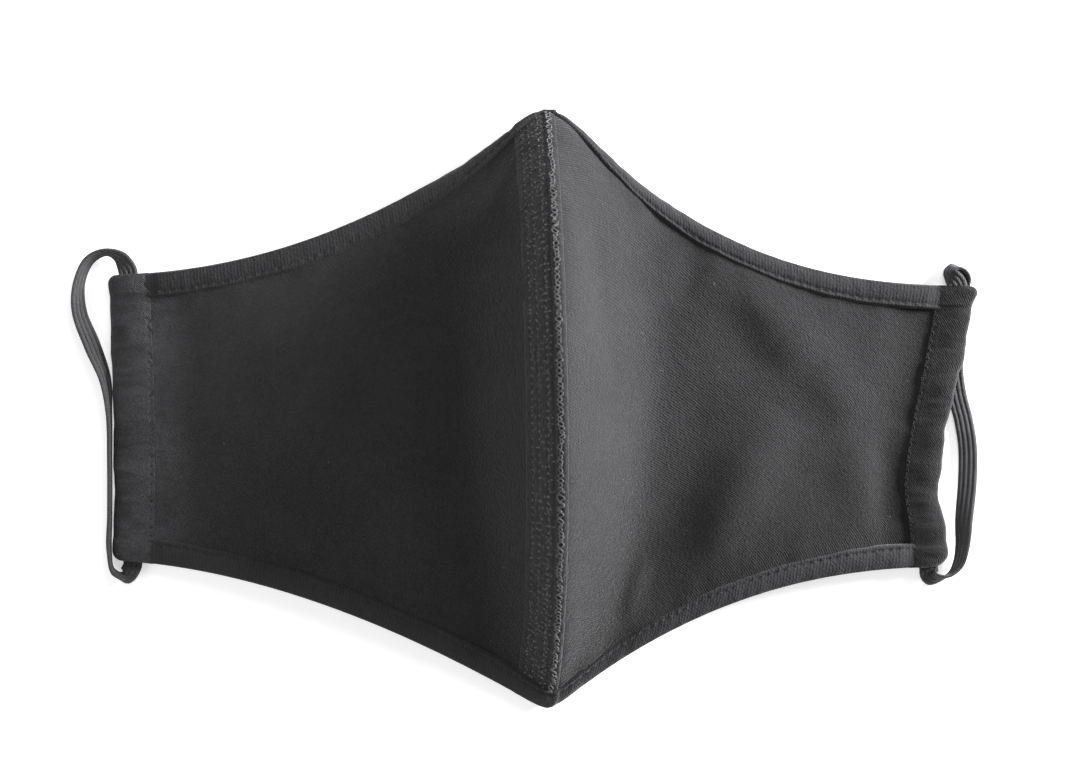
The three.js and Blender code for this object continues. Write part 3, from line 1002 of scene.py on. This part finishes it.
@dataclass
class Casing:
    """The folded channel at an ear edge that the elastic runs through, open at both mouths."""

    form: MaskForm
    side: Side
    gather: float
    scallop: float
    painted_shading: float
    corner_radius: float = 2.4
    fullest: float = 1
    raised: float = 0
    swell: float = 0.95
    stitch_dip: float = 0.26
    off_table: float = 0.06
    bore_shares: tuple = (0.86, 1, 0.5)
    stitch_at: float = 0.075
    pitch: float = 2.3
    stations: int = 210

    def across_of(self, share: Array) -> Array:
        """The share across of a point this share of the casing's width from the panel."""
        return self.side.value * lerp(self.form.casing_start, 1, share)

    def ring_shares(self) -> tuple:
        """The section's points: shares of the width, and how far up each is, 1 on top and 0 below."""
        turn = np.linspace(0, math.pi, 12)[1:-1]
        top = np.linspace(0, 0.9, 30)
        bottom = np.linspace(0.9, 0.03, 16)
        share = np.concatenate([top, 0.9 + 0.1 * np.sin(turn), bottom])
        up = np.concatenate([np.ones(30), 0.5 + 0.5 * np.cos(turn), np.zeros(16)])
        return share, up

    def top_offset(self, share: Array, at: Array, length: float) -> Array:
        """How far the top stands off the mask's face: a swell over the elastic, a bell down at the
        stitch row, gathers square to the edge, and the step of the binding folded in at each mouth."""
        swell = self.swell * np.sin(math.pi * np.clip(share, 0, 1) ** self.fullest) ** 0.8 + self.raised * share
        dip = self.stitch_dip * bell(share - self.stitch_at, 0.055) * needle_holes(at, self.pitch)
        wide = value_noise(at, share * 3, 3.4, 31 + self.side.value)
        fine = value_noise(at, share * 2.5, 1.3, 33 + self.side.value)
        gathers = self.gather * (wide + 0.6 * fine) * (0.35 + share)
        mouth = np.minimum(at, length - at)
        step = 0.3 * (1 - smoothstep(mouth, 4.9, 5.6)) + 0.12 * bell(mouth - 5.2, 0.5)
        return (swell + gathers - dip + step) * smoothstep(share, -0.01, 0.03)

    def build(self) -> Piece:
        """Carries the channel's section from the chin mouth to the nose mouth, with its bore."""
        form = self.form
        along = np.linspace(-1, 1, self.stations)[:, None]
        share, up = (part[None, :] for part in self.ring_shares())
        across = self.across_of(share)
        face = form.face(across, along)
        at = lengths_along(form.face(self.across_of(np.full(self.stations, 0.5)), along[:, 0]))
        length = at[-1]
        at = at[:, None]
        top = face[..., 2] + self.top_offset(share, at, length)
        floor = form.lift(1, along) + self.off_table + 0.9 * bell(share, 0.09)
        radius = np.where(at < length / 2, self.corner_radius + 0.6 * self.raised, self.corner_radius)
        near_mouth = np.clip(1 - np.minimum(at, length - at) / radius, 0, 1)
        rounding = radius * (1 - np.sqrt(1 - near_mouth**2))
        outline = self.scallop * value_noise(at, 0, 3.6, 35) - rounding
        points = np.stack(
            [
                face[..., 0] + self.side.value * outline * share,
                face[..., 1] * form.casing_stretch(across, along),
                lerp(floor, top, up),
            ],
            axis=-1,
        )
        middle = points.mean(axis=1, keepdims=True)
        bore = middle + (points - middle) * np.array(self.bore_shares)
        lie = paired(share * 10 + 3 * (1 - up), at)
        # Painted light and shade on the casing: the left one drawn lighter, the right one darker, with noise.
        painted_shading = self.painted_shading * (1 + 0.5 * value_noise(share * 3, at, 1.1, 43))
        points, bore, lie, painted_shading = (part[:: -self.side.value] for part in (points, bore, lie, painted_shading))
        return paint_shading(loft(f"{self.side.label}_casing_channel", points, lie, bore), painted_shading)

    def stitch_line(self) -> tuple:
        """Places of the stitches down the casing: their points, their way and the face's normal."""
        dense = np.linspace(-0.9, 0.9, 800)
        across = self.across_of(np.full(800, self.stitch_at))
        walked = lengths_along(self.form.face(across, dense))
        at = np.arange(1, walked[-1], self.pitch)
        along = np.interp(at, walked, dense)
        return self.form.sewn(across[: len(along)], along, 0.33 - self.stitch_dip / 2, 0.004)


@dataclass
class Stitches:
    """Rows of short stitches as one mesh: each is a thin capsule whose ends dip into the cloth."""

    name: str
    radius: float = 0.2
    sides: int = 7
    lay: list = field(default_factory=list)

    def row(
        self, points: Array, ahead: Array, normal: Array, length: float, seed: int, slant: float = 0
    ) -> None:
        """Adds a row of stitches.

        Args:
            points: the middle of each stitch.
            ahead: the way each one runs.
            normal: out of the cloth.
            length: one stitch's length.
            seed: for the small differences from stitch to stitch.
            slant: turn of each stitch in the cloth's plane, in radians.
        """
        chance = np.random.default_rng(seed)
        turn = slant + chance.normal(0, 0.09, len(points))
        size = length * (1 + chance.normal(0, 0.06, len(points)))
        side = np.cross(normal, ahead)
        way = unit(ahead * np.cos(turn)[:, None] + side * np.sin(turn)[:, None])
        lift = chance.normal(0, 0.03, len(points))
        self.lay.append((points + normal * lift[:, None], way, np.cross(normal, way), normal, size))

    def build(self) -> Piece:
        """Copies one capsule to every place at once."""
        spot, way, side, normal, size = (np.concatenate(part) for part in zip(*self.lay))
        share = np.array([-0.5, -0.46, -0.34, -0.12, 0.12, 0.34, 0.46, 0.5])
        girth = np.array([0.3, 0.62, 0.9, 1, 1, 0.9, 0.62, 0.3])
        round_it = np.arange(self.sides) / self.sides * TURN
        y = self.radius * girth[:, None] * np.cos(round_it)
        z = self.radius * (girth[:, None] * np.sin(round_it) - 6 * share[:, None] ** 2)
        x = np.broadcast_to(share[:, None], y.shape)
        points = (
            spot[:, None, None]
            + way[:, None, None] * (x * size[:, None, None])[..., None]
            + side[:, None, None] * y[..., None]
            + normal[:, None, None] * z[..., None]
        )
        skin = grid_quads(len(share), self.sides, wrap=True)
        one = len(share) * self.sides
        first = one * np.arange(len(spot))
        faces = (skin[None] + first[:, None, None]).reshape(-1, 4).tolist()
        caps = np.stack([np.arange(self.sides)[::-1], np.arange(self.sides) + one - self.sides])
        faces += (caps[None] + first[:, None, None]).reshape(-1, self.sides).tolist()
        return mesh_piece(self.name, points, faces, paired(x * size[:, None, None], round_it / TURN * 0.5))


def thread_tube(name: str, line: Array, normal: Array, radius: float, sides: int = 7) -> Piece:
    """A thin round thread along a line of points.

    Args:
        name: the object's name.
        line: points of the thread's middle.
        normal: out of the cloth at each point.
        radius: the thread's radius.
        sides: points round it.

    Returns:
        The new object.
    """
    ahead = unit(np.gradient(line, axis=0))
    side = unit(np.cross(ahead, normal))
    up = np.cross(side, ahead)
    angle = np.arange(sides) / sides * TURN
    out = side[:, None] * np.cos(angle)[:, None] + up[:, None] * np.sin(angle)[:, None]
    rings = line[:, None] + radius * out
    walked = lengths_along(line)
    lie = paired(walked[:, None], angle / TURN * 0.5)
    return loft(name, rings[:, ::-1], lie[:, ::-1])


# Elastic


class Stop(NamedTuple):
    """A point that an ear loop's middle passes through, and the way of the band's width there."""

    at: tuple
    across: tuple


LEFT_ROUTE = (
    Stop((-109.8, 37, 1.9), (1, 0, 0)),
    Stop((-111.6, 40.2, 2.7), (0.8, 0.3, 0.6)),
    Stop((-115.2, 41.6, 3.2), (0.1, 0.3, 1)),
    Stop((-119.6, 39.6, 3), (-0.3, 0.3, 1)),
    Stop((-122.4, 33.5, 2.8), (-0.5, 0.1, 0.9)),
    Stop((-122.4, 26, 2.6), (-0.7, 0, 0.7)),
    Stop((-119, 17, 2.5), (-0.8, -0.3, 0.6)),
    Stop((-115.6, 8, 2.6), (-0.5, -0.2, 0.9)),
    Stop((-114.55, -1, 2.8), (-0.1, 0, 1)),
    Stop((-114.35, -14, 2.8), (0, 0, 1)),
    Stop((-114.35, -28, 2.8), (0, 0, 1)),
    Stop((-114.5, -37, 2.8), (0, -0.1, 1)),
    Stop((-113.4, -42.6, 2.9), (0.3, -0.5, 1)),
    Stop((-110.4, -43.9, 2.4), (1, -0.3, 0.2)),
    Stop((-108.4, -41, 1.9), (1, 0, 0)),
)
RIGHT_ROUTE = (
    Stop((109, 33.6, 3.6), (1, 0, 0)),
    Stop((107.9, 35, 3.5), (0.85, 0.05, 0.5)),
    Stop((107.2, 36.5, 3.2), (0.5, -0.1, 0.85)),
    Stop((108.5, 37.7, 2.9), (0.3, -0.3, 0.9)),
    Stop((110.1, 37, 2.6), (0.5, -0.1, 0.85)),
    Stop((110.8, 35.2, 1.6), (0.85, 0, 0.5)),
    Stop((110.4, 32.4, 0.7), (1, 0, 0)),
    Stop((109.9, 28, 0.62), (1, 0, 0)),
    Stop((109, 20, 0.6), (1, 0, 0)),
    Stop((108.7, 11, 0.6), (1, 0, 0)),
    Stop((109.6, 4, 0.66), (1, 0, 0)),
    Stop((111.3, -3, 0.85), (1, 0, 0)),
    Stop((112.3, -10, 1.05), (1, 0, 0.1)),
    Stop((112.2, -19, 1.3), (1, 0, 0.2)),
    Stop((111.2, -29, 2), (0.9, 0, 0.45)),
    Stop((110.7, -36, 2.7), (0.65, -0.15, 0.75)),
    Stop((109.6, -40.6, 2.9), (0.4, -0.25, 0.88)),
    Stop((107.4, -43.4, 2.9), (0.05, -0.05, 1)),
    Stop((104.3, -44.4, 2.8), (0.3, 0.4, 0.8)),
    Stop((102.1, -43.6, 2.1), (1, 0.2, 0.15)),
    Stop((101.9, -41.9, 1.9), (1, 0, 0)),
)


@dataclass
class EarLoop:
    """A flat ribbed elastic that leaves the casing's nose mouth, goes round to its chin mouth and
    comes back up inside, where its ends meet."""

    form: MaskForm
    side: Side
    route: tuple
    width: float = 5
    thickness: float = 1
    ribs: int = 4
    inside_from: float = 0.42
    inside_to: float = 0.34
    gap: float = 0.0027
    above_floor: float = 1.9
    spacing: float = 0.36

    def channel(self, shares: Array) -> Array:
        """Points down the middle of the casing's channel."""
        across = np.full(len(shares), self.side.value * lerp(self.form.casing_start + self.gap, 1, 0.5))
        face = self.form.face(across, shares)
        stretch = self.form.casing_stretch(across, shares)
        floor = self.form.lift(np.full(len(shares), float(self.side.value)), shares)
        return np.stack([face[:, 0], face[:, 1] * stretch, floor + self.above_floor], axis=-1)

    def centreline(self) -> tuple:
        """The band's whole middle line and the way of its width, at even steps."""
        up, back = (
            [(*point, 1, 0, 0) for point in self.channel(np.linspace(*ends))]
            for ends in ((self.inside_from, 0.96, 4), (-0.96, self.inside_to, 9))
        )
        stops = np.array([*up, *((*stop.at, *stop.across) for stop in self.route), *back], float)
        gaps = np.linalg.norm(np.diff(stops[:, :3], axis=0), axis=1)
        knots = np.concatenate([[0], np.cumsum(np.sqrt(gaps))])
        dense = SmoothCurve(knots, stops)(np.linspace(0, knots[-1], 2 * SAMPLES))
        total = lengths_along(dense[:, :3])[-1]
        line = evenly_spaced(dense, np.arange(0, total, self.spacing))
        return line[:, :3], line[:, 3:]

    def section(self) -> tuple:
        """Points of the band's section: half its thickness where a rib is fullest, less between
        ribs and rounded off at both sides, by the size of a sine and a root."""
        out = np.linspace(-1, 1, 42)[1:-1]
        rib = np.abs(np.sin(out * math.pi * self.ribs / 2))
        high = self.thickness / 2 * np.sqrt(1 - np.abs(out) ** 7) * (0.45 + 0.55 * rib**0.8)
        u = np.concatenate([[1], out[::-1], [-1], out]) * self.width / 2
        v = np.concatenate([[0], high[::-1], [0], -high])
        return u, v

    def build(self) -> Piece:
        """Carries the section along the line."""
        line, across = self.centreline()
        ahead = unit(np.gradient(line, axis=0))
        sideways = unit(across - (across * ahead).sum(axis=1, keepdims=True) * ahead)
        face = np.cross(ahead, sideways)
        u, v = self.section()
        rings = line[:, None] + sideways[:, None] * u[:, None] + face[:, None] * v[:, None]
        walked = lengths_along(line)
        lie = paired(walked[:, None], u)
        return loft(f"{self.side.label}_elastic", rings, lie)

    def declare(self) -> None:
        """Works out the band's middle line and the middle of its nose mouth, and keeps neither."""
        line, _ = self.centreline()
        mouth = self.channel(np.array([1.0]))[0]


# Studio


@dataclass
class Studio:
    """A white table, soft light from the upper right, and a camera that looks straight down."""

    look_at: tuple = (-0.0008, 0.0075)
    distance: float = 0.8
    frame_width: float = 0.286
    table_half: float = 1500
    lamps: tuple = (
        ("Key", (0.84, 0.34, 0.235), 0.3, 35),
        ("Fill", (-0.75, -0.35, 0.5), 0.6, 3.2),
        ("Top", (0.2, 0.6, 0.7), 0.4, 2.5),
    )
    surround: float = 0.36

    def camera(self) -> None:
        """A camera above the mask, with its long side along X."""
        data = bpy.data.cameras.new("Camera")
        data.sensor_width = 36
        data.lens = data.sensor_width * self.distance / self.frame_width
        bpy.context.scene.camera = new_object("Camera", data, (*self.look_at, self.distance))

    def lamp(self, name: str, place: tuple, size: float, power: float) -> None:
        """A square soft light aimed at the mask."""
        data = bpy.data.lights.new(name, "AREA")
        data.size, data.energy = size, power
        lamp = new_object(name, data, place)
        lamp.rotation_euler = (-Vector(place)).to_track_quat("-Z", "Y").to_euler()

    def table(self) -> None:
        """A wide, softly glowing white top that the mask lies on."""
        points = self.table_half * np.array([[-1, -1, 0], [1, -1, 0], [1, 1, 0], [-1, 1, 0]], float)
        top = mesh_piece("table_top", points, [[0, 1, 2, 3]], points[:, :2])
        material, desk, shader = new_material("Matt white")
        desk.fill(shader, {"Base Color": (0.86, 0.86, 0.87, 1), "Roughness": 0.9})
        desk.fill(shader, {"Emission Color": WHITE, "Emission Strength": 0.5})
        top.data.materials.append(material)

    def light(self) -> None:
        """A low key from the right, two weak fills, and a pale surround."""
        for lamp in self.lamps:
            self.lamp(*lamp)
        world = bpy.data.worlds.new("Pale surround")
        world.use_nodes = True
        background = world.node_tree.nodes["Background"]
        NodeDesk(world.node_tree).fill(background, {"Color": WHITE, "Strength": self.surround})
        bpy.context.scene.world = world
        bpy.context.scene.view_settings.view_transform = "Standard"


def seam_threads(form: MaskForm, band: SeamBand) -> Stitches:
    """The three straight rows of stitches on the seam band, and loose short ones between them."""
    rows = Stitches("seam_stitches", radius=0.2)
    for number, (place, length) in enumerate(zip(band.rows_at, band.stitch_lengths)):
        along, at = form.ridge_line(place, 2.5, band.pitch)
        across = np.full(len(along), form.across_at(np.array([place]))[0])
        height = band.height(np.full(len(along), place), at)
        rows.row(*form.sewn(across, along, height + 0.14, 0.003), length, 40 + number, slant=0.2)
    chance = np.random.default_rng(45)
    for number in range(4):
        along, at = form.ridge_line(0, 2.5, band.pitch * 0.8)
        place = chance.uniform(*((-8, -2.2) if number else (-4, -2.2)), len(along))
        level = band.height(place, at) + chance.uniform(-0.07, 0.05, len(along))
        sewn = form.sewn(form.across_at(place), along, level, 0.003)
        rows.row(*sewn, 0.75, 46 + number, slant=1.2 - 0.6 * number)
    return rows


def ridge_chain(form: MaskForm, band: SeamBand, phase: float) -> Piece:
    """One thread of the looped row on the ridge: it swings from side to side as a sine, and rises
    and dips twice as often, so that two threads half a swing apart cross like a chain."""
    along, at = form.ridge_line(band.rows_at[3], 2, 0.14)
    swing = np.sin(TURN * at / (1.2 * band.pitch) + phase + 1.5 * value_noise(at, phase, 2.6, 52))
    sway = band.rows_at[3] + 0.45 * swing + 0.35 * value_noise(at, phase * 9, 1.2, 51)
    across = form.across_at(sway)
    lift = band.height(sway, at) + 0.16 + 0.09 * np.sin(2 * TURN * at / band.pitch + phase * 1.5)
    line = form.off_face(across, along, lift)
    return thread_tube(f"ridge_thread_{'a' if phase == 0 else 'b'}", line, form.normal(across, along), 0.15)


def binding_threads(form: MaskForm, binding: Binding, rows: Stitches, seed: int) -> None:
    """The row of stitches near the inner margin of a binding."""
    across, at = binding.stations()
    places = np.arange(6, at[-1] - 6, binding.pitch)
    across = np.interp(places, at, across)
    along = form.along_at(across, binding.edge, binding.stitch_at)
    inset = np.full(len(places), binding.stitch_at)
    rise = binding.rise(inset, places, across * form.half_width)
    after, before = (
        form.face(across + step, form.along_at(across + step, binding.edge, binding.stitch_at))
        for step in (0.002, -0.002)
    )
    ahead = unit(after - before)
    normal = form.normal(across, along)
    rows.row(form.off_face(across, along, rise + 0.03), ahead, normal, 1.3, seed)


def main() -> None:
    """Builds the mask piece by piece."""
    logging.basicConfig(level=logging.INFO, format="%(message)s")
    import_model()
    studio = Studio()
    studio.camera()
    form = MaskForm()
    effects = ClothEffects()
    effects.build()
    cloth, seam, binding, elastic, seam_thread, hem_thread = (
        finish.build(effects)
        for finish in (PANEL_CLOTH, SEAM_CLOTH, BINDING_CLOTH, ELASTIC_BRAID, SEAM_THREAD, HEM_THREAD)
    )

    for side, route in ((Side.LEFT, LEFT_ROUTE), (Side.RIGHT, RIGHT_ROUTE)):
        loop = EarLoop(form, side, route)
        band = dress(loop.build(), elastic, f"{side.label}_ear_loop")
        loop.declare()

    # Each casing carries painted light and shade: the left drawn lighter, the right darker.
    casings = {
        Side.LEFT: Casing(form, Side.LEFT, gather=0.24, scallop=0.25, painted_shading=0.9),
        Side.RIGHT: Casing(
            form, Side.RIGHT, gather=0.36, scallop=0.55, painted_shading=-0.3, fullest=1.7, raised=1.8, stitch_dip=0.16
        ),
    }
    channels = {
        side: dress(casing.build(), cloth, f"{side.label}_casing") for side, casing in casings.items()
    }
    seam_band = SeamBand(form)
    strip = dress(seam_band.build(), seam, "centre_seam")
    bindings = {edge: Binding(form, edge) for edge in Edge}
    strips = [
        dress(piece.build(), binding, f"{edge.label}_binding") for edge, piece in bindings.items()
    ]

    stitches = dress(seam_threads(form, seam_band).build(), seam_thread)
    chain = [dress(ridge_chain(form, seam_band, phase), seam_thread) for phase in (0, math.pi)]
    rows = Stitches("hem_stitches", radius=0.14)
    for number, piece in enumerate(bindings.values()):
        binding_threads(form, piece, rows, 60 + number)
    for number, casing in enumerate(casings.values()):
        rows.row(*casing.stitch_line(), 0.9, 70 + number, slant=0.25)
    hem_stitches = dress(rows.build(), hem_thread)

    for panel in (Panel(form, Side.LEFT), Panel(form, Side.RIGHT, gathered=1.4, dip=1.1)):
        side = panel.side
        piece = dress(panel.build(), cloth, f"{side.label}_panel")

    studio.table()
    studio.light()


if __name__ == "__main__":
    main()
